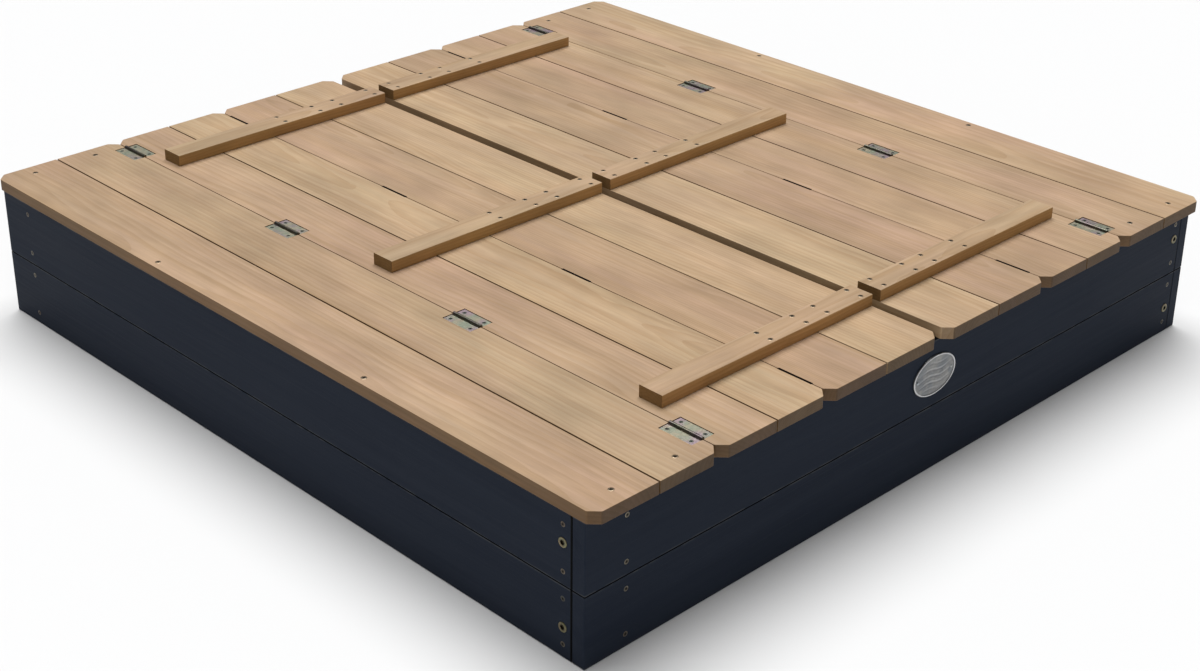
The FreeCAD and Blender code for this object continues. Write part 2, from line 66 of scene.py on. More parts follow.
# %% Add one node to a tree
SOCKET = bpy.types.NodeSocket


def add(tree, kind, inputs=None, **settings):
    """A new node. Each input is a value, or the output socket that feeds it."""
    node = tree.nodes.new(kind)
    for key, value in settings.items():
        setattr(node, key, value)
    for key, value in (inputs or {}).items():
        if isinstance(value, SOCKET):
            tree.links.new(value, node.inputs[key])
        else:
            node.inputs[key].default_value = value
    return node


def math_node(tree, operation, a, b=0.0):
    return add(tree, "ShaderNodeMath", {0: a, 1: b}, operation=operation).outputs[0]


def plus(tree, a, b):
    return math_node(tree, "ADD", a, b)


def minus(tree, a, b):
    return math_node(tree, "SUBTRACT", a, b)


def times(tree, a, b):
    return math_node(tree, "MULTIPLY", a, b)


def remap(tree, value, low, high, to_low=0.0, to_high=1.0):
    """The value's range low..high, spread over to_low..to_high and clamped."""
    inputs = {0: value, 1: low, 2: high, 3: to_low, 4: to_high}
    return add(tree, "ShaderNodeMapRange", inputs).outputs[0]


def mix_colour(tree, factor, a, b, blend="MIX"):
    node = add(tree, "ShaderNodeMix", {0: factor, 6: a, 7: b}, data_type="RGBA", blend_type=blend)
    return node.outputs[2]


def scaled(tree, vector, scale, shift=(0, 0, 0)):
    inputs = {"Vector": vector, "Scale": scale, "Location": shift}
    return add(tree, "ShaderNodeMapping", inputs).outputs[0]


def noise(tree, vector, scale=1.0, detail=2.0, roughness=0.5):
    inputs = {"Vector": vector, "Scale": scale, "Detail": detail, "Roughness": roughness}
    return add(tree, "ShaderNodeTexNoise", inputs).outputs[0]


def new_object(name, data):
    """An object of this mesh, camera or light, linked to the scene."""
    thing = bpy.data.objects.new(name, data)
    scene.collection.objects.link(thing)
    return thing


def new_material(name):
    """A material, its node tree and its shader."""
    material = bpy.data.materials.new(name)
    material.use_nodes = True
    return material, material.node_tree, material.node_tree.nodes["Principled BSDF"]


# %% [markdown]
# ## Wood
#
# Planed softwood shows growth rings cut lengthways: long pale and honey-coloured bands, tight
# near one edge of a board and wide over its middle. A flat picture of wood would slide over the
# ends, so the wood here is solid: rings round a crooked heart line, somewhere under the board,
# read in object coordinates. The same rings then make the bands on the face, the stripes on the
# edges and the arcs on the end grain, as they do in a real plank.

# %% Colours of the wood
PALE_WOOD = (0.445, 0.326, 0.198, 1)
HONEY_WOOD = (0.345, 0.222, 0.118, 1)
PINK_WOOD = (0.442, 0.290, 0.196, 1)
KNOT_BROWN = (0.120, 0.062, 0.030, 1)
# The next colour is painted shade for the walls of the slots.
PAINTED_SLOT_SHADE = (0.014, 0.010, 0.008, 1)
# The next two colours darken a board's sides and its ends: partly the sawn wood's own colour, partly painted
# shade on faces that turn away from the light above.
SAWN_EDGE_AND_SHADE = (0.48, 0.41, 0.30, 1)
SAWN_END_AND_SHADE = (0.29, 0.26, 0.22, 1)

GRAIN_TURNS = {"y": (0, 0, 0), "x": (0, 0, math.radians(90)), "z": (math.radians(90), 0, 0)}


def grain_space(tree, middle, grain, log):
    """Object coordinates turned so that the grain runs along Y, and the same in a new log."""
    here = add(tree, "ShaderNodeTexCoord").outputs["Object"]
    centred = add(tree, "ShaderNodeMapping", {"Vector": here, "Location": [-c for c in middle]})
    turned = add(tree, "ShaderNodeMapping", {"Vector": centred.outputs[0], "Rotation": GRAIN_TURNS[grain]})
    shift = (log * 1.7, log * 3.1, log * 0.9)
    shifted = add(tree, "ShaderNodeMapping", {"Vector": turned.outputs[0], "Location": shift})
    return turned.outputs[0], shifted.outputs[0]


def growth_rings(tree, board_space, log_space, heart, spacing):
    """0 in the pale early wood, 1 in the dark late wood."""
    crook = noise(tree, scaled(tree, log_space, (5.0, 1.3, 5.0)), detail=3.0)
    bend = add(tree, "ShaderNodeVectorMath", {0: crook, 1: (0.5, 0.5, 0.5)}, operation="SUBTRACT")
    size = add(tree, "ShaderNodeVectorMath", {0: bend.outputs[0], "Scale": 0.045}, operation="SCALE")
    bent = add(tree, "ShaderNodeVectorMath", {0: board_space, 1: size.outputs[0]}, operation="ADD")
    round_heart = add(tree, "ShaderNodeMapping", {"Vector": bent.outputs[0], "Location": heart})
    wave_period = math.pi / 10
    inputs = {"Vector": round_heart.outputs[0], "Scale": wave_period / spacing}
    inputs.update({"Distortion": 3.0, "Detail": 3.0, "Detail Scale": 0.10, "Detail Roughness": 0.6})
    settings = {"wave_type": "RINGS", "rings_direction": "Y", "wave_profile": "SAW"}
    return add(tree, "ShaderNodeTexWave", inputs, **settings).outputs["Fac"]


def knots(tree, log_space, share):
    """Two masks: the dark knot, and the swirl of grain round it. share is how many cells have one."""
    cells = scaled(tree, log_space, (13.0, 6.0, 0.0))
    finder = add(tree, "ShaderNodeTexVoronoi", {"Vector": cells, "Scale": 1.0}, feature="F1")
    lottery = add(tree, "ShaderNodeSeparateColor", {0: finder.outputs["Color"]}).outputs[0]
    chosen = math_node(tree, "GREATER_THAN", lottery, 1 - share)
    core = remap(tree, finder.outputs["Distance"], 0.030, 0.065, 1.0, 0.0)
    halo = remap(tree, finder.outputs["Distance"], 0.04, 0.26, 1.0, 0.0)
    return times(tree, core, chosen), times(tree, halo, chosen)


def surface_parts(tree):
    """How far the surface faces along X, Y and Z of the piece, each from 0 to 1."""
    normal = add(tree, "ShaderNodeNewGeometry").outputs["Normal"]
    settings = {"convert_from": "WORLD", "convert_to": "OBJECT", "vector_type": "NORMAL"}
    local = add(tree, "ShaderNodeVectorTransform", {0: normal}, **settings)
    parts = add(tree, "ShaderNodeSeparateXYZ", {0: local.outputs[0]})
    return {name: math_node(tree, "ABSOLUTE", parts.outputs[i]) for i, name in enumerate("xyz")}


SLOT_HALF_LENGTH = 0.0262


def in_slots(tree, facing, slots):
    """1 on the long walls of a board's slots, which lie in a row along Y at even steps."""
    slot_x, first_y, step = slots
    here = add(tree, "ShaderNodeTexCoord").outputs["Object"]
    x, y, z = add(tree, "ShaderNodeSeparateXYZ", {0: here}).outputs
    across = math_node(tree, "ABSOLUTE", minus(tree, x, slot_x))
    along = math_node(tree, "PINGPONG", minus(tree, y, first_y), step / 2)
    beside = remap(tree, across, 0.006, 0.007, 1.0, 0.0)
    within = remap(tree, along, SLOT_HALF_LENGTH, SLOT_HALF_LENGTH + 0.0006, 1.0, 0.0)
    return times(tree, times(tree, beside, within), remap(tree, facing["x"], 0.5, 0.9))


def grey(tree, value):
    return add(tree, "ShaderNodeCombineColor", {0: value, 1: value, 2: value}).outputs[0]


def oiled_wood(name, middle, grain, log, shade=1.0, pink=0.4, heart=(0.0, 0.0, 0.045), spacing=0.0055,
               edge=SAWN_EDGE_AND_SHADE, end=SAWN_END_AND_SHADE, slots=None):
    """Clear-oiled planed softwood. log picks the tree, heart is where its middle lies from the
    board, spacing is the width of a year's ring, and pink runs from yellow (0) to pink (1)."""
    material, tree, shader = new_material(name)
    board_space, log_space = grain_space(tree, middle, grain, log)
    rings = growth_rings(tree, board_space, log_space, heart, spacing)
    fibres = noise(tree, scaled(tree, log_space, (420.0, 7.0, 420.0)), detail=3.0, roughness=0.6)
    streaks = noise(tree, scaled(tree, log_space, (52.0, 1.5, 52.0)), detail=4.0, roughness=0.6)
    clouds = noise(tree, scaled(tree, log_space, (9.0, 3.0, 9.0)), detail=3.0)
    patches = noise(tree, scaled(tree, log_space, (16.0, 7.0, 16.0), (3, 1, 2)), detail=2.0)
    flecks = scaled(tree, log_space, (150.0, 17.0, 150.0), (5, 2, 7))
    flecks = noise(tree, flecks, detail=4.0, roughness=0.65)
    core, halo = knots(tree, log_space, 0.07)
    late = remap(tree, rings, 0.25, 1.0, 0.0, 0.42)
    late = plus(tree, late, remap(tree, streaks, 0.35, 0.70, -0.05, 0.55))
    pinkness = remap(tree, clouds, 0.35, 0.65, max(pink - 0.4, 0.0), min(pink + 0.4, 1.0))
    face = mix_colour(tree, pinkness, PALE_WOOD, PINK_WOOD)
    face = mix_colour(tree, late, face, HONEY_WOOD)
    light = remap(tree, fibres, 0.3, 0.7, 0.93, 1.05)
    light = times(tree, light, remap(tree, flecks, 0.35, 0.65, 0.95, 1.05))
    light = times(tree, light, remap(tree, patches, 0.30, 0.70, 0.81 * shade, 1.06 * shade))
    face = mix_colour(tree, 1.0, face, grey(tree, light), "MULTIPLY")
    face = mix_colour(tree, times(tree, halo, 0.40), face, HONEY_WOOD)
    face = mix_colour(tree, times(tree, core, 0.80), face, KNOT_BROWN)
    facing = surface_parts(tree)
    # Sides and ends take darker tints by the way each face turns: partly the sawn wood, partly painted
    # shade. A tint above 1 paints a highlight there instead.
    sawn_and_shaded_sides = remap(tree, facing["y" if grain == "z" else "z"], 0.80, 0.35)
    ends = remap(tree, facing[grain], 0.60, 0.85)
    colour = mix_colour(tree, sawn_and_shaded_sides, face, mix_colour(tree, 1.0, face, edge, "MULTIPLY"))
    colour = mix_colour(tree, ends, colour, mix_colour(tree, 1.0, face, end, "MULTIPLY"))
    # Painted shade: the long walls of the slots go near black.
    if slots:
        colour = mix_colour(tree, in_slots(tree, facing, slots), colour, PAINTED_SLOT_SHADE)
    tree.links.new(colour, shader.inputs["Base Color"])
    tree.links.new(remap(tree, fibres, 0.2, 0.8, 0.52, 0.70), shader.inputs["Roughness"])
    relief = plus(tree, times(tree, rings, -0.25), times(tree, fibres, 0.5))
    relief = minus(tree, relief, times(tree, core, 0.4))
    bump = add(tree, "ShaderNodeBump", {"Height": relief, "Strength": 0.35, "Distance": 0.0006})
    tree.links.new(bump.outputs[0], shader.inputs["Normal"])
    shader.inputs["Specular IOR Level"].default_value = 0.25
    return material


# %% [markdown]
# Every board is cut from another log, so each gets its own copy of the wood with its own log
# number, heart, shade and tint. Boards that lie over the heart show broad arches; boards from the
# side of the log show straight lines. Pale yellow boards lie in the middle of the cover and
# deeper, pinker ones beside them. The shades and tints are given in words.
# Where a seat board meets a backrest board, four slots make room for the hinge barrels below.
# Their long walls are painted near black: painted shade, as falls deep in a narrow slot.

# %% Put wood on the cover boards and the hidden timber
def node_middle(node):
    low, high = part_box(node)
    return (low + high) / 2


def wear(node, material):
    """Give a CAD node its material."""
    mesh = frame["nodes"][node].data
    mesh.materials.clear()
    mesh.materials.append(material)


LIGHT, PLAIN, DEEP = 1.06, 1.0, 0.95
YELLOW, MIXED, PINK = 0.15, 0.50, 0.80
# The next colour lightens the sides of the inner backrest boards: planed wood, and in part a painted
# highlight on sides that the light above barely reaches.
PLANED_AND_LIT_EDGE = (1.10, 1.08, 1.02, 1)
BOARD_LOOKS = {
    "west": {"ledge_outer": (PLAIN, PINK), "ledge_inner": (DEEP, MIXED),
             "seat_outer": (PLAIN, PINK), "seat_inner": (LIGHT, YELLOW),
             "back_outer": (PLAIN, PINK), "back_inner": (LIGHT, YELLOW)},
    "east": {"ledge_outer": (LIGHT, MIXED), "ledge_inner": (PLAIN, MIXED),
             "seat_outer": (PLAIN, MIXED), "seat_inner": (PLAIN, PINK),
             "back_outer": (DEEP, PINK), "back_inner": (LIGHT, YELLOW)},
}
HINGE_COUNT = 4
PIN_LENGTH = 0.051
log_number = 0
for side in ("west", "east"):
    low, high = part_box(side + "_back_hinge_pins")
    step = (high.y - low.y - PIN_LENGTH) / (HINGE_COUNT - 1)
    slots = ((low.x + high.x) / 2, low.y + PIN_LENGTH / 2, step)
    for panel, (shade, pink) in BOARD_LOOKS[side].items():
        node = side + "_" + panel + "_board"
        log_number += 1
        heart = (0.06 * math.sin(2.4 * log_number), 0.0, 0.035 + 0.02 * math.cos(1.7 * log_number))
        spacing = 0.0050 + 0.0020 * math.sin(log_number)
        # The inner backrest boards get the lighter side tint, in part painted light; the rest get the darker
        # one, in part painted shade.
        edge = PLANED_AND_LIT_EDGE if panel == "back_inner" else SAWN_EDGE_AND_SHADE
        routed = slots if panel in ("seat_inner", "back_outer") else None
        wear(node, oiled_wood(node + "_wood", node_middle(node), "y", log_number, shade, pink, heart,
                              spacing, edge, slots=routed))
    cleats = side + "_seat_cleats"
    log_number += 1
    wear(cleats, oiled_wood(cleats + "_wood", node_middle(cleats), "x", log_number, spacing=0.004))
for wall in ("front", "east", "back", "west"):
    posts = wall + "_wall_posts"
    log_number += 1
    wear(posts, oiled_wood(posts + "_wood", node_middle(posts), "z", log_number, spacing=0.003))
print("boards, cleats and posts in wood:", log_number)

# %% [markdown]
# ## Painted walls
#
# The walls are the same softwood under a dark blue-grey paint. The paint is thin, so the rings
# still stand up a little in it, which shows as long soft streaks in the gloss. Along its top and
# bottom edges it is paler in patches: partly rubbed paint, partly a painted highlight where the
# rounded edge catches the light. The seams and the joint where one end butts on the next wall are
# painted near black: painted shade, as falls in the gap between two boards. Both follow the
# board's own size, so one function makes the paint for all eight boards. The same rule paints the
# boards' top and bottom faces near black as well.

# %% The paint
PAINT = (0.0130, 0.0185, 0.0320, 1)
PAINT_FADED = (0.0220, 0.0285, 0.0430, 1)
# The next colour is paler paint along the edges: partly rubbed paint, partly a painted highlight.
PAINT_RUBBED_AND_HIGHLIT = (0.0800, 0.0830, 0.0880, 1)
# The next colour is painted shade for the seams, the butt joint and the top and bottom faces.
PAINTED_JOINT_SHADE = (0.0015, 0.0018, 0.0024, 1)


def painted_wood(name, low, high, grain, log, butt):
    """Dark paint on a wall board that fills the box from low to high. butt is the place along
    the grain where the board's end meets its neighbour."""
    material, tree, shader = new_material(name)
    board_space, log_space = grain_space(tree, (low + high) / 2, grain, log)
    rings = growth_rings(tree, board_space, log_space, (0.05, 0.0, 0.03), 0.0062)
    brush = noise(tree, scaled(tree, log_space, (300.0, 5.0, 300.0)), detail=3.0, roughness=0.65)
    streaks = noise(tree, scaled(tree, log_space, (40.0, 1.6, 40.0)), detail=4.0)
    clouds = noise(tree, scaled(tree, log_space, (5.0, 2.2, 5.0)), detail=3.0)
    core, halo = knots(tree, log_space, 0.10)
    colour = mix_colour(tree, remap(tree, streaks, 0.35, 0.75), PAINT, PAINT_FADED)
    colour = mix_colour(tree, remap(tree, clouds, 0.45, 0.85, 0.0, 0.5), colour, PAINT_FADED)
    here = add(tree, "ShaderNodeTexCoord").outputs["Object"]
    here = add(tree, "ShaderNodeSeparateXYZ", {0: here}).outputs
    to_bottom = minus(tree, here["Z"], low.z)
    to_top = minus(tree, high.z, here["Z"])
    to_edge = math_node(tree, "MINIMUM", to_bottom, to_top)
    to_butt = math_node(tree, "ABSOLUTE", minus(tree, here[grain.upper()], butt))
    # Paler patches along the top and bottom edges: rubbed paint and, in part, a painted highlight.
    edge = remap(tree, to_edge, 0.0010, 0.0030, 1.0, 0.0)
    patches = remap(tree, noise(tree, log_space, 30.0, 5.0, 0.7), 0.42, 0.60)
    rubbed_and_highlit = times(tree, edge, patches)
    colour = mix_colour(tree, times(tree, rubbed_and_highlit, 0.75), colour, PAINT_RUBBED_AND_HIGHLIT)
    # Painted shade: near black along the top and bottom edges, over the whole top and bottom faces, and at
    # the butt joint.
    for distance, reach in ((to_edge, 0.0006), (to_butt, 0.0022)):
        joint_shade = remap(tree, distance, reach, reach + 0.0004, 1.0, 0.0)
        colour = mix_colour(tree, joint_shade, colour, PAINTED_JOINT_SHADE)
    tree.links.new(colour, shader.inputs["Base Color"])
    gloss = remap(tree, streaks, 0.3, 0.7, 0.48, 0.62)
    gloss = plus(tree, gloss, remap(tree, brush, 0.3, 0.7, -0.04, 0.06))
    tree.links.new(gloss, shader.inputs["Roughness"])
    relief = plus(tree, times(tree, rings, -0.5), times(tree, brush, 0.35))
    relief = plus(tree, relief, times(tree, halo, 0.5))
    bump = add(tree, "ShaderNodeBump", {"Height": relief, "Strength": 0.5, "Distance": 0.0006})
    tree.links.new(bump.outputs[0], shader.inputs["Normal"])
    shader.inputs["Specular IOR Level"].default_value = 0.05
    return material


# %% Paint the eight wall boards
for wall in ("front", "east", "back", "west"):
    grain = "x" if wall in ("front", "back") else "y"
    for row in ("lower", "upper"):
        node = wall + "_wall_" + row + "_board"
        low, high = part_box(node)
        log_number += 1
        butt = getattr(high if wall in ("front", "east") else low, grain)
        wear(node, painted_wood(node + "_paint", low, high, grain, log_number, butt))
print("wall boards painted")

# %% [markdown]
# ## Metals
#
# The hinges are zinc-plated and have the thin rainbow film of a fresh passivation; the corner
# bolts have the yellow kind. One function makes them all: a metal whose colour drifts between
# three tints in soft clouds, with fine scratches in its gloss. A flat grey would look like
# plastic. A piece can also carry an attribute that is 1 on a hinge's knuckles and pins and round
# the middle of a screw or bolt head, where the metal goes nearly black. It stands for grease and
# dust, and also for painted shade in the gaps between knuckles and down in the recesses. The name
# plate has another that paints its high places pale: partly where hands and sleeves rub them
# bright, partly a painted highlight.

# %% Plated metals
GRIME_AND_SHADE = (0.030, 0.026, 0.022, 1)
# The next colour is the pale of rubbed metal, in part a painted highlight.
RUBBED_AND_HIGHLIT_METAL = (0.85, 0.85, 0.86, 1)


def plated(name, tints, roughness, cloud_size, dirt):
    """A metal of three tints. cloud_size is how far apart they lie, in metres."""
    tints = [(*tint, 1) for tint in tints]
    material, tree, shader = new_material(name)
    here = add(tree, "ShaderNodeTexCoord").outputs["Object"]
    clouds = noise(tree, here, 1 / cloud_size, 3.0, 0.6)
    drift = noise(tree, scaled(tree, here, (1, 1, 1), (3, 7, 1)), 0.6 / cloud_size, 2.0)
    colour = mix_colour(tree, remap(tree, clouds, 0.38, 0.62), tints[0], tints[1])
    colour = mix_colour(tree, remap(tree, drift, 0.45, 0.65), colour, tints[2])
    specks = remap(tree, noise(tree, here, 260.0, 4.0, 0.7), 0.5, 0.75, 0.0, dirt)
    # The attribute read here takes the metal near black: grease and dust, and painted shade in the knuckles
    # and recesses.
    grease_and_shade = add(tree, "ShaderNodeAttribute", attribute_name="grime_and_shade").outputs["Fac"]
    dark = math_node(tree, "MAXIMUM", specks, times(tree, grease_and_shade, 0.80))
    colour = mix_colour(tree, dark, colour, GRIME_AND_SHADE)
    # The attribute read here paints the metal pale: rubbed high places and, in part, a painted highlight.
    polish_and_highlight = add(tree, "ShaderNodeAttribute", attribute_name="polish_and_highlight").outputs["Fac"]
    colour = mix_colour(tree, polish_and_highlight, colour, RUBBED_AND_HIGHLIT_METAL)
    tree.links.new(colour, shader.inputs["Base Color"])
    shader.inputs["Metallic"].default_value = 1.0
    scratches = noise(tree, scaled(tree, here, (160.0, 2600.0, 160.0)), detail=3.0)
    gloss = remap(tree, scratches, 0.3, 0.7, roughness - 0.07, roughness + 0.1)
    tree.links.new(gloss, shader.inputs["Roughness"])
    bump = add(tree, "ShaderNodeBump", {"Height": scratches, "Strength": 0.08, "Distance": 0.0001})
    tree.links.new(bump.outputs[0], shader.inputs["Normal"])
    return material


METALS = {
    "hinge_zinc": ([(0.44, 0.49, 0.38), (0.60, 0.54, 0.40), (0.54, 0.42, 0.46)], 0.34, 0.014, 0.15),
    "hinge_screw_zinc": ([(0.16, 0.22, 0.18), (0.24, 0.25, 0.2), (0.2, 0.2, 0.2)], 0.36, 0.006, 0.4),
    "bright_zinc": ([(0.42, 0.44, 0.42), (0.50, 0.48, 0.43), (0.38, 0.42, 0.45)], 0.34, 0.010, 0.15),
    "dull_zinc": ([(0.24, 0.21, 0.16), (0.09, 0.09, 0.08), (0.14, 0.11, 0.085)], 0.42, 0.045, 0.5),
    "yellow_zinc": ([(0.21, 0.19, 0.10), (0.15, 0.15, 0.09), (0.24, 0.19, 0.11)], 0.34, 0.006, 0.35),
    "bronzed_screw": ([(0.30, 0.23, 0.16), (0.20, 0.18, 0.14), (0.36, 0.27, 0.18)], 0.42, 0.030, 0.3),
    "plate_pewter": ([(0.21, 0.21, 0.21), (0.26, 0.26, 0.25), (0.18, 0.19, 0.20)], 0.38, 0.008, 0.2),
}
METAL = {name: plated(name, *recipe) for name, recipe in METALS.items()}
print("metals:", sorted(METAL))

# %% [markdown]
# ## Where the hardware goes
#
# Each CAD node of fasteners is one mesh with many loose solids in it. Finding the solids again
# gives every screw's place, its size and the way its head faces, so nothing is typed in twice.
# The head is the wider end.

# %% Split a CAD node into its solids
def solids(node):
    """The vertex positions of each loose solid in a node."""
    mesh = frame["nodes"][node].data
    spot_of = {}
    spots = [spot_of.setdefault(tuple(round(c, 6) for c in v.co), len(spot_of)) for v in mesh.vertices]
    leader = list(range(len(spot_of)))

    def find(spot):
        while leader[spot] != spot:
            leader[spot] = leader[leader[spot]]
            spot = leader[spot]
        return spot

    for edge in mesh.edges:
        leader[find(spots[edge.vertices[0]])] = find(spots[edge.vertices[1]])
    groups = {}
    for place, spot in spot_of.items():
        groups.setdefault(find(spot), []).append(Vector(place))
    return [groups[key] for key in sorted(groups)]


def corners(points):
    low = Vector([min(p[i] for p in points) for i in range(3)])
    high = Vector([max(p[i] for p in points) for i in range(3)])
    return low, high


def screw_places(node):
    """(head's middle, outward direction, head radius, length) of each screw in a node."""
    found = []
    for points in solids(node):
        low, high = corners(points)
        size = high - low
        axis = max(range(3), key=lambda i: size[i])
        middle = (low + high) / 2
        spread = [0.0, 0.0]
        for p in points:
            end = 0 if p[axis] < middle[axis] else 1
            spread[end] = max(spread[end], *(abs(p[i] - middle[i]) for i in range(3) if i != axis))
        outward = Vector((0, 0, 0))
        outward[axis] = 1 if spread[1] > spread[0] else -1
        middle[axis] = high[axis] if outward[axis] > 0 else low[axis]
        found.append((middle, outward, max(spread), size[axis]))
    return found


# %% [markdown]
# ## Setting out hardware with Geometry Nodes
#
# A piece of hardware is modelled once inside its node tree and set down on a cloud of points,
# each of which carries a turn. The tree ends by making the copies real and giving them their
# metal. The result is turned into a plain mesh that rides on one moving body.

# %% Points with a turn, and what every hardware tree has
def point_cloud(name, places):
    """A mesh of single points; places are (position, turn) pairs, with the turn as an Euler."""
    mesh = bpy.data.meshes.new(name)
    mesh.from_pydata([place for place, _ in places], [], [])
    turns = mesh.attributes.new("turn", "FLOAT_VECTOR", "POINT")
    for i, (_, turn) in enumerate(places):
        turns.data[i].vector = tuple(turn)
    return new_object(name, mesh)


SOCKET_KINDS = {int: "NodeSocketInt", float: "NodeSocketFloat", tuple: "NodeSocketVector"}


def geometry_tree(name, sizes):
    """A tree whose inputs are a point cloud, the named sizes and a material."""
    tree = bpy.data.node_groups.new(name, "GeometryNodeTree")
    tree.interface.new_socket("Points", in_out="INPUT", socket_type="NodeSocketGeometry")
    for size_name, default in sizes.items():
        kind = SOCKET_KINDS[type(default)]
        tree.interface.new_socket(size_name, in_out="INPUT", socket_type=kind).default_value = default
    tree.interface.new_socket("Material", in_out="INPUT", socket_type="NodeSocketMaterial")
    tree.interface.new_socket("Geometry", in_out="OUTPUT", socket_type="NodeSocketGeometry")
    return tree, add(tree, "NodeGroupInput").outputs


def finish_tree(tree, given, geometry):
    """Realize the copies, set their material and end the tree."""
    real = add(tree, "GeometryNodeRealizeInstances", {0: geometry}).outputs[0]
    done = add(tree, "GeometryNodeSetMaterial", {0: real, "Material": given["Material"]}).outputs[0]
    add(tree, "NodeGroupOutput", {0: done})


def on_points(tree, given, hardware, spin=0.0):
    """Copies of the hardware on the points, each turned as its point says and spun by chance."""
    turn = add(tree, "GeometryNodeInputNamedAttribute", {"Name": "turn"}, data_type="FLOAT_VECTOR")
    rotation = add(tree, "FunctionNodeEulerToRotation", {0: turn.outputs[0]}).outputs[0]
    chance = add(tree, "FunctionNodeRandomValue", data_type="FLOAT")
    chance.inputs[2].default_value = -spin
    chance.inputs[3].default_value = spin
    chance.inputs["Seed"].default_value = 7
    spun = add(tree, "FunctionNodeAxisAngleToRotation", {"Axis": (0, 0, 1), "Angle": chance.outputs[1]})
    both = add(tree, "FunctionNodeRotateRotation", {0: rotation, 1: spun.outputs[0]}, rotation_space="LOCAL")
    inputs = {"Points": given["Points"], "Instance": hardware, "Rotation": both.outputs[0]}
    return add(tree, "GeometryNodeInstanceOnPoints", inputs).outputs[0]


# %% [markdown]
# Three ways of making a solid cover all the hardware. A turned solid is a cylinder whose rings
# are moved to the radius and height of each step of an outline, as on a lathe. A block is a box
# between two heights. A cut takes one solid out of another, as a drill or a chisel would.

# %% Turned solids, blocks and cuts
def moved(tree, geometry, place=(0, 0, 0), turn=(0, 0, 0), scale=(1, 1, 1)):
    inputs = {"Geometry": geometry, "Translation": place, "Rotation": turn, "Scale": scale}
    return add(tree, "GeometryNodeTransform", inputs).outputs[0]


def vector(tree, x=0.0, y=0.0, z=0.0):
    return add(tree, "ShaderNodeCombineXYZ", {0: x, 1: y, 2: z}).outputs[0]


def switch(tree, index, values):
    """The value whose place in the list is index."""
    node = add(tree, "GeometryNodeIndexSwitch", data_type="FLOAT")
    while len(node.index_switch_items) < len(values):
        node.index_switch_items.new()
    tree.links.new(index, node.inputs[0])
    for i, value in enumerate(values):
        if isinstance(value, SOCKET):
            tree.links.new(value, node.inputs[i + 1])
        else:
            node.inputs[i + 1].default_value = value
    return node.outputs[0]


def turned(tree, sides, outline):
    """The solid of an outline of (radius, height) steps, from its bottom to its top."""
    steps = len(outline) - 1
    inputs = {"Vertices": sides, "Side Segments": steps, "Radius": 1.0, "Depth": 1.0}
    rod = add(tree, "GeometryNodeMeshCylinder", inputs).outputs[0]
    here = add(tree, "GeometryNodeInputPosition").outputs[0]
    x, y, z = add(tree, "ShaderNodeSeparateXYZ", {0: here}).outputs
    ring = math_node(tree, "ROUND", times(tree, plus(tree, z, 0.5), steps))
    radius = switch(tree, ring, [step[0] for step in outline])
    height = switch(tree, ring, [step[1] for step in outline])
    place = vector(tree, times(tree, x, radius), times(tree, y, radius), height)
    return add(tree, "GeometryNodeSetPosition", {"Geometry": rod, "Position": place}).outputs[0]


def block(tree, size, middle):
    box = add(tree, "GeometryNodeMeshCube", {"Size": size}).outputs[0]
    return moved(tree, box, middle)


def joined(tree, *pieces):
    node = add(tree, "GeometryNodeJoinGeometry")
    for piece in reversed(pieces):
        tree.links.new(piece, node.inputs[0])
    return node.outputs[0]


def cut_away(tree, body, *cutters):
    for cutter in cutters:
        node = add(tree, "GeometryNodeMeshBoolean", operation="DIFFERENCE", solver="EXACT")
        tree.links.new(body, node.inputs[0])
        tree.links.new(cutter, node.inputs[1])
        body = node.outputs[0]
    return body


def grimy_and_shaded(tree, geometry, reach=1.0):
    """The same geometry, marked to go near black on all that is within reach of its Z axis: grease and dust,
    and painted shade.
    """
    here = add(tree, "GeometryNodeInputPosition").outputs[0]
    flat = add(tree, "ShaderNodeVectorMath", {0: here, 1: (1, 1, 0)}, operation="MULTIPLY").outputs[0]
    out = add(tree, "ShaderNodeVectorMath", {0: flat}, operation="LENGTH").outputs["Value"]
    marks = {"Geometry": geometry, "Name": "grime_and_shade", "Value": math_node(tree, "LESS_THAN", out, reach)}
    return add(tree, "GeometryNodeStoreNamedAttribute", marks, data_type="FLOAT", domain="POINT").outputs[0]


# %% Run a tree once and keep the plain mesh
def make_piece(name, cloud, tree, values, material, body, replaced):
    """Run the tree on the cloud and keep its result as a piece that rides on a body."""
    modifier = cloud.modifiers.new(name, "NODES")
    modifier.node_group = tree
    for socket in tree.interface.items_tree:
        if socket.in_out == "INPUT" and socket.name in values:
            modifier[socket.identifier] = values[socket.name]
        if socket.name == "Material":
            modifier[socket.identifier] = material
    graph = bpy.context.evaluated_depsgraph_get()
    mesh = bpy.data.meshes.new_from_object(cloud.evaluated_get(graph), depsgraph=graph)
    cloud.modifiers.clear()
    bpy.data.objects.remove(cloud)
    mesh.name = name
    mesh.shade_smooth()
    mesh.set_sharp_from_angle(angle=math.radians(35))
    piece = new_object(name, mesh)
    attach(piece, body)
    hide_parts(*replaced)
    print(name, "has", len(mesh.polygons), "faces")
    return piece


# %% [markdown]
# ## Countersunk screws
#
# A countersunk head is a cone, widest at the face of the wood, with a tapered cross pressed into
# it for the driver. The cross is two slim wedges taken out one after the other. Real screws stop
# at any angle, so each is spun by chance. The middle of the head, round the cross, is marked to go
# near black, for oil and dust and for painted shade down in the cross, so only the rim stays
# bright. The heads are small and there are 180 of them, so each screw is kept under a hundred
# faces.

# %% The screw tree
RIM_HEIGHT = 0.0004
TIP_RADIUS = 0.0002
CROSS_REACH = 0.70
CROSS_SLIM = 0.40


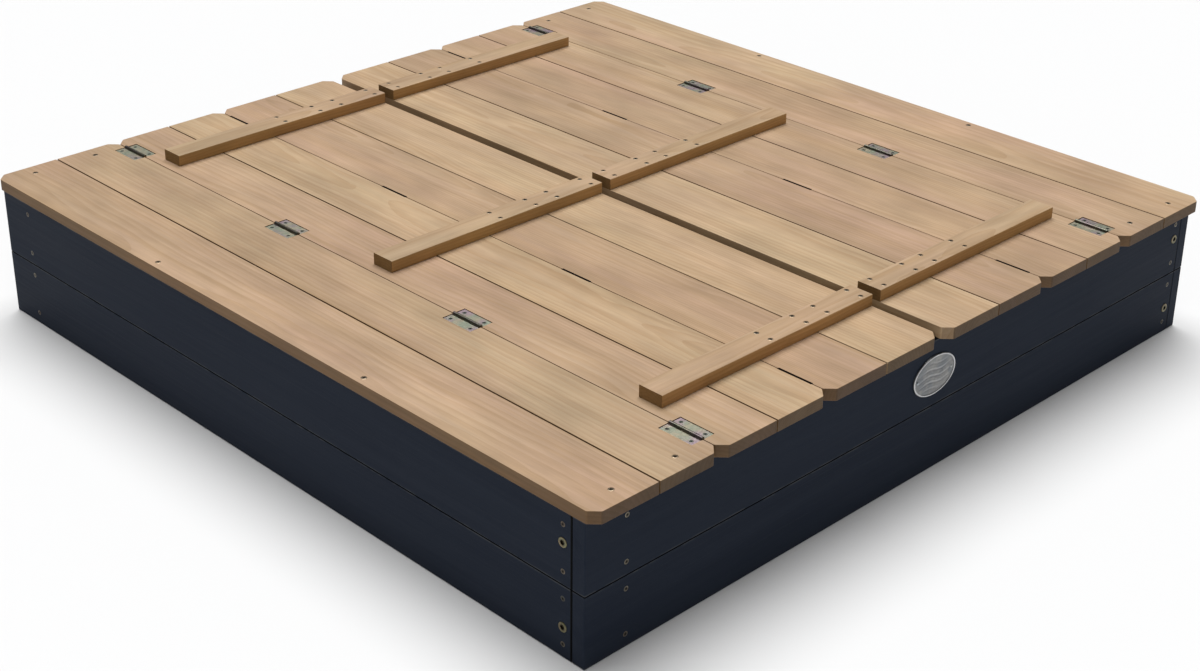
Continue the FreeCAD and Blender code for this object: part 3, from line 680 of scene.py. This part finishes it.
def screw_tree():
    sizes = {"Head radius": 0.0033, "Shank radius": 0.0018, "Length": 0.03}
    tree, given = geometry_tree("countersunk_screw", sizes)
    head, shank = given["Head radius"], given["Shank radius"]
    cone_foot = minus(tree, minus(tree, shank, head), RIM_HEIGHT)
    tip = times(tree, given["Length"], -1.0)
    point = plus(tree, tip, times(tree, shank, 2.0))
    outline = [(TIP_RADIUS, tip), (shank, point), (shank, cone_foot), (head, -RIM_HEIGHT), (head, -0.0001)]
    outline.append((times(tree, head, 0.95), 0.0))
    screw = turned(tree, 16, outline)
    arm = times(tree, head, CROSS_REACH)
    depth = times(tree, head, -0.42)
    wedge = turned(tree, 4, [(times(tree, arm, 0.35), depth), (arm, 0.0003)])
    along = moved(tree, wedge, scale=(1.0, CROSS_SLIM, 1.0))
    across = moved(tree, wedge, scale=(CROSS_SLIM, 1.0, 1.0))
    # The middle of the head is marked to go near black: oil and dust, and painted shade in the cross.
    screw = grimy_and_shaded(tree, cut_away(tree, screw, along, across), times(tree, head, 0.8))
    finish_tree(tree, given, on_points(tree, given, screw, spin=math.pi))
    return tree


SCREW_TREE = screw_tree()


def facing_turn(outward):
    """The turn that points a piece's +Z outwards."""
    return outward.to_track_quat("Z", "Y").to_euler()


# The slot's name and the metal of each kind of screw.
WALL_SCREW = ("wall_screw_steel", "dull_zinc")
DARK_SCREW = ("dark_screw_steel", "bronzed_screw")
HINGE_SCREW = ("hinge_screw_steel", "hinge_screw_zinc")
SHANK_SHARE = 0.55


def make_screws(name, body, kind, node):
    places = screw_places(node)
    cloud = point_cloud(name + "_points", [(p[0], facing_turn(p[1])) for p in places])
    head = places[0][2]
    values = {"Head radius": head, "Shank radius": SHANK_SHARE * head, "Length": places[0][3]}
    slot, metal = kind
    return make_piece(name, cloud, SCREW_TREE, values, METAL[metal], body, [node])


make_screws("wall_screw_set", "box_frame", WALL_SCREW, "wall_screws")
make_screws("ledge_screw_set", "box_frame", DARK_SCREW, "ledge_screws")
make_screws("ledge_hinge_screw_set", "box_frame", HINGE_SCREW, "ledge_hinge_screws")
for side in ("west", "east"):
    seat, back = side + "_seat", side + "_backrest"
    make_screws(side + "_cleat_screw_set", seat, DARK_SCREW, side + "_seat_cleat_screws")
    make_screws(side + "_seat_hinge_screw_set", seat, HINGE_SCREW, side + "_seat_hinge_screws")
    make_screws(side + "_batten_screw_set", back, DARK_SCREW, side + "_batten_screws")
    make_screws(side + "_back_hinge_screw_set", back, HINGE_SCREW, side + "_back_hinge_screws")

# %% [markdown]
# ## Corner bolts, nuts and washers
#
# A long bolt goes through each butt end of a wall into the next wall's post. Its flat round head
# has a hexagon socket and a bevelled rim, and inside the box a nut pulls it up on a washer.
# Head, nut and washer are turned solids with few sides or many, and the sockets are cuts.

# %% The bolt, nut and washer trees
HEAD_BEVEL = 0.0004
SOCKET_RADIUS = 0.0031
SOCKET_DEPTH = 0.0018


def bolt_tree():
    sizes = {"Head radius": 0.0062, "Head height": 0.0025, "Shank radius": 0.003, "Length": 0.09}
    tree, given = geometry_tree("socket_head_bolt", sizes)
    head, shank = given["Head radius"], given["Shank radius"]
    under = times(tree, given["Head height"], -1.0)
    tip = times(tree, given["Length"], -1.0)
    rim = minus(tree, head, HEAD_BEVEL)
    bolt = turned(tree, 32, [(shank, tip), (shank, under), (head, under), (head, -HEAD_BEVEL), (rim, 0.0)])
    socket = turned(tree, 6, [(SOCKET_RADIUS, -SOCKET_DEPTH), (SOCKET_RADIUS * 1.04, 0.001)])
    # The socket and its edge are marked to go near black: dirt, and painted shade in the socket.
    bolt = grimy_and_shaded(tree, cut_away(tree, bolt, socket), SOCKET_RADIUS * 1.1)
    finish_tree(tree, given, on_points(tree, given, bolt, spin=math.pi))
    return tree


def ring_tree(name, sides):
    """A washer when it has many sides, or a nut when it has six."""
    sizes = {"Radius": 0.008, "Bore radius": 0.0031, "Thickness": 0.0016}
    tree, given = geometry_tree(name, sizes)
    wide, half = given["Radius"], times(tree, given["Thickness"], 0.5)
    low, soft = times(tree, half, -1.0), times(tree, wide, 0.94)
    upper, lower = times(tree, half, 0.8), times(tree, half, -0.8)
    ring = turned(tree, sides, [(soft, low), (wide, lower), (wide, upper), (soft, half)])
    bore = turned(tree, 24, [(given["Bore radius"], -0.01), (given["Bore radius"], 0.01)])
    finish_tree(tree, given, on_points(tree, given, cut_away(tree, ring, bore), spin=math.pi))
    return tree


def make_rings(name, node, tree):
    places = []
    for points in solids(node):
        low, high = corners(points)
        size = high - low
        axis = min(range(3), key=lambda i: size[i])
        outward = Vector((0, 0, 0))
        outward[axis] = 1
        places.append(((low + high) / 2, facing_turn(outward)))
    values = {"Radius": max(size) / 2, "Bore radius": 0.0031, "Thickness": min(size)}
    cloud = point_cloud(name + "_points", places)
    make_piece(name, cloud, tree, values, METAL["bright_zinc"], "box_frame", [node])


bolts = screw_places("corner_bolts")
bolt_points = point_cloud("bolt_points", [(p[0], facing_turn(p[1])) for p in bolts])
bolt_sizes = {"Head radius": bolts[0][2], "Length": bolts[0][3]}
make_piece("corner_bolt_set", bolt_points, bolt_tree(), bolt_sizes, METAL["yellow_zinc"], "box_frame",
           ["corner_bolts"])
make_rings("corner_washer_set", "corner_washers", ring_tree("washer", 32))
make_rings("corner_nut_set", "corner_nuts", ring_tree("hexagon_nut", 6))

# %% [markdown]
# ## Hinges
#
# A narrow butt hinge is two leaves rolled round one pin. One leaf has three knuckles and the
# other two, in the gaps between them. Each leaf is a plate, with a cylinder for each knuckle and
# a strip that joins it to the plate, made one solid by a union, and then drilled. The pin's axis
# is the joint's own axis, so the sizes are measured from there.

# %% The leaf tree and the pin tree
KNUCKLE_GAP = 0.00035
LEAF_CLEARANCE = 0.0003


def leaf_tree():
    sizes = {"Length": 0.05, "Width": 0.0175, "Thickness": 0.0013, "Leaf top": -0.001}
    sizes.update({"Barrel radius": 0.0025, "Bore radius": 0.0013, "Knuckles": 3, "First knuckle": 0})
    sizes.update({"Screw out": 0.011, "Screw spacing": 0.036, "Screw head radius": 0.0026})
    tree, given = geometry_tree("hinge_leaf", sizes)
    length, top, thick = given["Length"], given["Leaf top"], given["Thickness"]
    pitch = times(tree, length, 0.2)
    near = plus(tree, given["Barrel radius"], LEAF_CLEARANCE)
    plate_w = minus(tree, given["Width"], near)
    plate_z = minus(tree, top, times(tree, thick, 0.5))
    plate_x = plus(tree, near, times(tree, plate_w, 0.5))
    plate = block(tree, vector(tree, plate_w, length, thick), vector(tree, plate_x, 0.0, plate_z))
    knuckle_l = minus(tree, pitch, KNUCKLE_GAP)
    strip_middle = vector(tree, times(tree, near, 0.5), 0.0, plate_z)
    strip = block(tree, vector(tree, near, knuckle_l, thick), strip_middle)
    half_l = times(tree, knuckle_l, 0.5)
    low_l = times(tree, half_l, -1.0)
    barrel = given["Barrel radius"]
    roll = turned(tree, 28, [(barrel, low_l), (barrel, half_l)])
    roll = moved(tree, roll, turn=(math.radians(90), 0, 0))
    # The knuckles are marked to go near black: grease, and painted shade in the barrel.
    roll = grimy_and_shaded(tree, roll)
    step = times(tree, pitch, 2.0)
    first = minus(tree, times(tree, given["First knuckle"], pitch), step)
    row_inputs = {"Count": given["Knuckles"], "Start Location": vector(tree, 0.0, first, 0.0)}
    row_inputs["Offset"] = vector(tree, 0.0, step, 0.0)
    row = add(tree, "GeometryNodeMeshLine", row_inputs).outputs[0]
    spread = {"Points": row, "Instance": joined(tree, roll, strip)}
    knuckles = add(tree, "GeometryNodeInstanceOnPoints", spread).outputs[0]
    knuckles = add(tree, "GeometryNodeRealizeInstances", {0: knuckles}).outputs[0]
    union = add(tree, "GeometryNodeMeshBoolean", operation="UNION", solver="EXACT")
    tree.links.new(joined(tree, plate, knuckles), union.inputs[1])
    union.inputs["Self Intersection"].default_value = True
    bore = turned(tree, 20, [(given["Bore radius"], -0.04), (given["Bore radius"], 0.04)])
    bore = moved(tree, bore, turn=(math.radians(90), 0, 0))
    hole_r = given["Screw head radius"]
    foot = times(tree, hole_r, 0.45)
    slope = minus(tree, foot, hole_r)
    hole = turned(tree, 20, [(foot, -0.004), (foot, slope), (hole_r, 0.0), (hole_r, 0.001)])
    half_s = times(tree, given["Screw spacing"], 0.5)
    low_s = times(tree, half_s, -1.0)
    holes = [moved(tree, hole, vector(tree, given["Screw out"], y, top)) for y in (low_s, half_s)]
    leaf = cut_away(tree, union.outputs[0], bore, *holes)
    finish_tree(tree, given, on_points(tree, given, leaf))
    return tree


PIN_BEVEL = 0.0002


def pin_tree():
    sizes = {"Length": 0.05, "Radius": 0.0012, "Head radius": 0.0019, "Head height": 0.0005}
    tree, given = geometry_tree("hinge_pin", sizes)
    radius, head = given["Radius"], given["Head radius"]
    half = times(tree, given["Length"], 0.5)
    end = plus(tree, half, given["Head height"])
    dome = times(tree, head, 0.6)
    low_end, low_half = [times(tree, value, -1.0) for value in (end, half)]
    outline = [(dome, low_end), (head, plus(tree, low_end, PIN_BEVEL)), (head, low_half)]
    outline += [(radius, low_half), (radius, half), (head, half)]
    outline += [(head, minus(tree, end, PIN_BEVEL)), (dome, end)]
    rod = moved(tree, turned(tree, 20, outline), turn=(math.radians(90), 0, 0))
    # The whole pin is marked to go near black: grease, and painted shade between the knuckles.
    finish_tree(tree, given, on_points(tree, given, grimy_and_shaded(tree, rod)))
    return tree


LEAF_TREE = leaf_tree()
PIN_TREE = pin_tree()

# %% Measure the hinges and make them
JOINT_PLACES = {joint["name"]: joint for joint in frame["joints"]}


def axis_place(joint_name):
    """Where the hinge's axis runs, as x and z."""
    place = JOINT_PLACES[joint_name]["pos_m"]
    return place[0], place[2]


def hinge_turn(up, towards):
    """The turn that points a leaf, drawn towards +X with its face up, the right way."""
    if up > 0:
        return Euler((0, 0, 0 if towards > 0 else math.pi))
    return Euler((math.pi, 0, 0)) if towards > 0 else Euler((0, math.pi, 0))


def make_leaves(name, node, joint_name, up, first, screw_node, body):
    """first is 0 for the leaf with three knuckles and 1 for the leaf with two."""
    axis_x, axis_z = axis_place(joint_name)
    places = []
    for points in solids(node):
        low, high = corners(points)
        towards = 1 if high.x - axis_x > axis_x - low.x else -1
        width = max(high.x - axis_x, axis_x - low.x)
        barrel = min(high.x - axis_x, axis_x - low.x)
        middle = Vector((axis_x, (low.y + high.y) / 2, axis_z))
        places.append((middle, hinge_turn(up, towards), high.y - low.y))
    first_middle, _, length = places[0]

    def in_first_leaf(screw):
        out, along = (screw[0].x - axis_x) * towards, abs(screw[0].y - first_middle.y)
        return screw[1].z * up > 0 and 0 < out < width and along < length / 2

    near = [screw for screw in screw_places(screw_node) if in_first_leaf(screw)]
    spacing = abs(near[0][0].y - near[1][0].y)
    values = {"Length": length, "Width": width, "Barrel radius": barrel, "First knuckle": first}
    values.update({"Knuckles": 3 - first, "Leaf top": (near[0][0].z - axis_z) * up})
    values.update({"Screw out": abs(near[0][0].x - axis_x), "Screw spacing": spacing})
    values["Screw head radius"] = near[0][2] + 0.00015
    cloud = point_cloud(name + "_points", [(place, turn) for place, turn, _ in places])
    return make_piece(name, cloud, LEAF_TREE, values, METAL["hinge_zinc"], body, [node])


def make_pins(name, node, body):
    places = []
    for points in solids(node):
        low, high = corners(points)
        places.append(((low + high) / 2, Euler((0, 0, 0))))
    head_height = 0.0005
    values = {"Length": high.y - low.y - 2 * head_height, "Head radius": (high.x - low.x) / 2}
    values["Head height"] = head_height
    cloud = point_cloud(name + "_points", places)
    return make_piece(name, cloud, PIN_TREE, values, METAL["hinge_zinc"], body, [node])


for side in ("west", "east"):
    seat, back = side + "_seat", side + "_backrest"
    turn, fold = side + "_seat_turn", side + "_backrest_fold"
    seat_screws, back_screws = side + "_seat_hinge_screws", side + "_back_hinge_screws"
    make_leaves(side + "_ledge_leaf_set", side + "_ledge_hinge_leaves", turn, 1, 0,
                "ledge_hinge_screws", "box_frame")
    make_leaves(side + "_seat_top_leaf_set", side + "_seat_top_leaves", turn, 1, 1, seat_screws, seat)
    make_leaves(side + "_seat_under_leaf_set", side + "_seat_under_leaves", fold, -1, 0, seat_screws, seat)
    make_leaves(side + "_back_leaf_set", side + "_back_leaves", fold, -1, 1, back_screws, back)
    make_pins(side + "_seat_pin_set", side + "_seat_hinge_pins", "box_frame")
    make_pins(side + "_back_pin_set", side + "_back_hinge_pins", seat)

# %% [markdown]
# ## Battens
#
# Three battens cross each backrest and reach out over the seat. They are cut from thinner stock
# than the boards and left a little uneven by the plane. Each is one section swept along a
# straight line, so a tree suits it: the section is a rectangle with soft corners, the sweep has
# many short steps, and a slow noise moves every step by a hair. The holes for its screws are cut
# last, at the screws' own points.

# %% The batten tree
def batten_tree():
    sizes = {"Length": 0.368, "Width": 0.036, "Thickness": 0.016, "Middle": (0.0, 0.0, 0.0)}
    sizes.update({"Edge radius": 0.0010, "Unevenness": 0.0005, "Screw head radius": 0.0034})
    tree, given = geometry_tree("batten", sizes)
    half = times(tree, given["Length"], 0.5)
    ends = {"Start": vector(tree, times(tree, half, -1.0)), "End": vector(tree, half)}
    line = add(tree, "GeometryNodeCurvePrimitiveLine", ends).outputs[0]
    line = add(tree, "GeometryNodeResampleCurve", {"Curve": line, "Count": 48}).outputs[0]
    across = {"Width": given["Width"], "Height": given["Thickness"]}
    section = add(tree, "GeometryNodeCurvePrimitiveQuadrilateral", across).outputs[0]
    fillet = {"Curve": section, "Radius": given["Edge radius"], "Count": 3}
    section = add(tree, "GeometryNodeFilletCurve", fillet, mode="POLY").outputs[0]
    sweep = {"Curve": line, "Profile Curve": section, "Fill Caps": True}
    bar = add(tree, "GeometryNodeCurveToMesh", sweep).outputs[0]
    bar = moved(tree, bar, given["Middle"])
    here = add(tree, "GeometryNodeInputPosition").outputs[0]
    slow = add(tree, "ShaderNodeTexNoise", {"Vector": here, "Scale": 9.0, "Detail": 1.0}).outputs["Color"]
    bend = add(tree, "ShaderNodeVectorMath", {0: slow, 1: (0.5, 0.5, 0.5)}, operation="SUBTRACT").outputs[0]
    by_a_hair = {0: bend, "Scale": given["Unevenness"]}
    bend = add(tree, "ShaderNodeVectorMath", by_a_hair, operation="SCALE").outputs[0]
    bar = add(tree, "GeometryNodeSetPosition", {"Geometry": bar, "Offset": bend}).outputs[0]
    head = given["Screw head radius"]
    foot = times(tree, head, 0.6)
    slope = minus(tree, minus(tree, foot, head), RIM_HEIGHT)
    hole = turned(tree, 20, [(foot, -0.03), (foot, slope), (head, -RIM_HEIGHT), (head, 0.002)])
    holes = add(tree, "GeometryNodeRealizeInstances", {0: on_points(tree, given, hole)}).outputs[0]
    finish_tree(tree, given, cut_away(tree, bar, holes))
    return tree


BATTEN_TREE = batten_tree()
# The battens' sides take an orange tint; their ends are darkened, partly as end grain and partly as painted
# shade.
BATTEN_EDGE = (1.14, 0.96, 0.62, 1)
BATTEN_END_AND_SHADE = (0.62, 0.53, 0.33, 1)


def make_batten(side, name, log):
    node = side + "_" + name + "_batten"
    low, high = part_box(node)
    size = high - low
    screws = [p for p in screw_places(side + "_batten_screws") if low.y < p[0].y < high.y]
    cloud = point_cloud(node + "_points", [(p[0], facing_turn(p[1])) for p in screws])
    values = {"Length": size.x, "Width": size.y, "Thickness": size.z, "Middle": (low + high) / 2}
    values["Screw head radius"] = screws[0][2] + 0.0001
    wood = oiled_wood(node + "_wood", (low + high) / 2, "x", log, 1.0, 0.35, (0.0, 0.0, 0.03), 0.0042,
                      BATTEN_EDGE, BATTEN_END_AND_SHADE)
    make_piece(node + "_bar", cloud, BATTEN_TREE, values, wood, side + "_backrest", [node])


for side in ("west", "east"):
    for name in ("front", "middle", "rear"):
        log_number += 1
        make_batten(side, name, log_number)

# %% [markdown]
# ## The name plate
#
# A cast oval plate with a raised rim is fixed to the front wall by two pins. It carries no
# letters here, only a relief of three low sand ripples. Its outline follows a rule, a stack of
# ovals that shrink towards the middle, so it is built ring by ring in mesh code: up the edge,
# over the rounded rim, down to the field, and then inwards over the ripples.

# %% Build the plate ring by ring
PLATE_SIDES = 96
RIM_WIDTH = 0.0026
RIM_STEPS = 8
FIELD_STEPS = 26
FIELD_RECESS = 0.0009
RIPPLE_HEIGHT = 0.00045
# The next two numbers paint the rim and the ripple crests pale: rubbed metal and, in part, a painted
# highlight.
RIM_POLISH_AND_HIGHLIGHT = 0.60
CREST_POLISH_AND_HIGHLIGHT = 0.22
RIPPLE_LENGTH = 0.0095

plate_low, plate_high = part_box("name_plate")
plate_middle = (plate_low + plate_high) / 2
half_width = (plate_high.x - plate_low.x) / 2
half_height = (plate_high.z - plate_low.z) / 2
plate_depth = plate_high.y - plate_low.y
field_depth = plate_depth - FIELD_RECESS


def ripples(x, z, edge):
    """Three low waves, fading out towards the rim; edge is 1 at the rim and 0 in the middle."""
    fade = max(0.0, 1 - edge ** 4)
    wave = math.cos(2 * math.pi * (z + 0.0022 * math.sin(x / 0.0085)) / RIPPLE_LENGTH)
    return RIPPLE_HEIGHT * fade * wave


def plate_rings():
    """(inset from the outline, height above the wall) of each ring, up to the field's edge."""
    rings = [(0.0, 0.0)]
    for i in range(RIM_STEPS + 1):
        angle = math.pi * i / RIM_STEPS
        inset = RIM_WIDTH / 2 * (1 - math.cos(angle))
        height = field_depth + (plate_depth - field_depth) * math.sin(angle)
        rings.append((inset, height))
    return rings


def plate_point(share_x, share_z, height, angle):
    x = half_width * share_x * math.cos(angle)
    z = half_height * share_z * math.sin(angle)
    return (plate_middle.x + x, plate_high.y - height, plate_middle.z + z)


# Each vertex gets a paleness on the rim and the ripple crests: rubbed metal and, in part, a painted
# highlight.
plate_vertices, plate_faces, polish_and_highlight = [], [], []
turns = [2 * math.pi * i / PLATE_SIDES for i in range(PLATE_SIDES)]
for inset, height in plate_rings():
    share_x, share_z = 1 - inset / half_width, 1 - inset / half_height
    plate_vertices += [plate_point(share_x, share_z, height, a) for a in turns]
    polish_and_highlight += [RIM_POLISH_AND_HIGHLIGHT * max(0.0, (height - field_depth) / (plate_depth - field_depth))] * PLATE_SIDES
for step in range(1, FIELD_STEPS):
    share = 1 - step / FIELD_STEPS
    for a in turns:
        x, z = half_width * share * math.cos(a), half_height * share * math.sin(a)
        ripple = ripples(x, z, share)
        plate_vertices.append(plate_point(share_x * share, share_z * share, field_depth + ripple, a))
        polish_and_highlight.append(CREST_POLISH_AND_HIGHLIGHT * max(0.0, ripple / RIPPLE_HEIGHT) ** 2)
ring_count = len(plate_vertices) // PLATE_SIDES
for ring in range(ring_count - 1):
    for i in range(PLATE_SIDES):
        j = (i + 1) % PLATE_SIDES
        a, b = ring * PLATE_SIDES + i, ring * PLATE_SIDES + j
        plate_faces.append((a, b, b + PLATE_SIDES, a + PLATE_SIDES))
plate_faces.append([(ring_count - 1) * PLATE_SIDES + i for i in range(PLATE_SIDES)])
plate_faces.append([i for i in reversed(range(PLATE_SIDES))])
plate_mesh = bpy.data.meshes.new("oval_plate")
plate_mesh.from_pydata(plate_vertices, [], plate_faces)
plate_mesh.attributes.new("polish_and_highlight", "FLOAT", "POINT").data.foreach_set("value", polish_and_highlight)
plate_mesh.materials.append(METAL["plate_pewter"])
plate_mesh.shade_smooth()
plate_mesh.set_sharp_from_angle(angle=math.radians(40))
plate = new_object("oval_plate", plate_mesh)
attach(plate, "box_frame")
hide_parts("name_plate")
wear("name_plate_pins", METAL["bright_zinc"])
print("plate", round(2 * half_width, 3), "by", round(2 * half_height, 3), "metres")

# %% [markdown]
# ## Camera, floor and light
#
# The camera stands off the corner of the box, a little over head height for a child, and looks
# down along the diagonal. The light comes from a wide soft patch overhead and slightly behind,
# which leaves the walls much darker than the cover and puts a thin shadow under each batten.

# %% Camera
LENS = 60.35
CAMERA_PLACE = Vector((-1.7839, -1.8232, 1.3001))
CAMERA_HEADING = math.radians(-45.04)
CAMERA_TILT = math.radians(90 - 25.22)
CAMERA_ROLL = math.radians(0.81)

camera = new_object("camera", bpy.data.cameras.new("camera"))
camera.data.lens = LENS
camera.data.shift_x = -0.0146
camera.data.shift_y = -0.0675
camera.location = CAMERA_PLACE
look = Euler((CAMERA_TILT, 0, CAMERA_HEADING)).to_matrix() @ Euler((0, 0, CAMERA_ROLL)).to_matrix()
camera.rotation_euler = look.to_euler()
bpy.context.scene.camera = camera

# %% Floor
def plain(name, colour, roughness):
    material, _, shader = new_material(name)
    shader.inputs["Base Color"].default_value = colour
    shader.inputs["Roughness"].default_value = roughness
    return material


floor_mesh = bpy.data.meshes.new("floor")
reach = 14.0
floor_corners = [(-reach, -reach, 0), (reach, -reach, 0), (reach, reach, 0), (-reach, reach, 0)]
floor_mesh.from_pydata(floor_corners, [], [(0, 1, 2, 3)])
floor_mesh.materials.append(plain("pale_floor", (0.72, 0.72, 0.72, 1), 0.9))
floor = new_object("floor", floor_mesh)

# %% Light
def soft_sun(name, energy, spread, turn):
    """A sun as wide as spread, turned away from straight down; all angles in degrees."""
    sun = new_object(name, bpy.data.lights.new(name, "SUN"))
    sun.data.energy = energy
    sun.data.angle = math.radians(spread)
    sun.rotation_euler = Euler([math.radians(angle) for angle in turn])


soft_sun("soft_sky", 3.9, 50, (-14, 10, 0))
soft_sun("camera_side_fill", 0.50, 60, (55, 0, -45))
world = bpy.data.worlds.new("studio")
world.use_nodes = True
world.node_tree.nodes["Background"].inputs[0].default_value = (0.95, 0.97, 1.0, 1)
world.node_tree.nodes["Background"].inputs[1].default_value = 0.10
scene.world = world
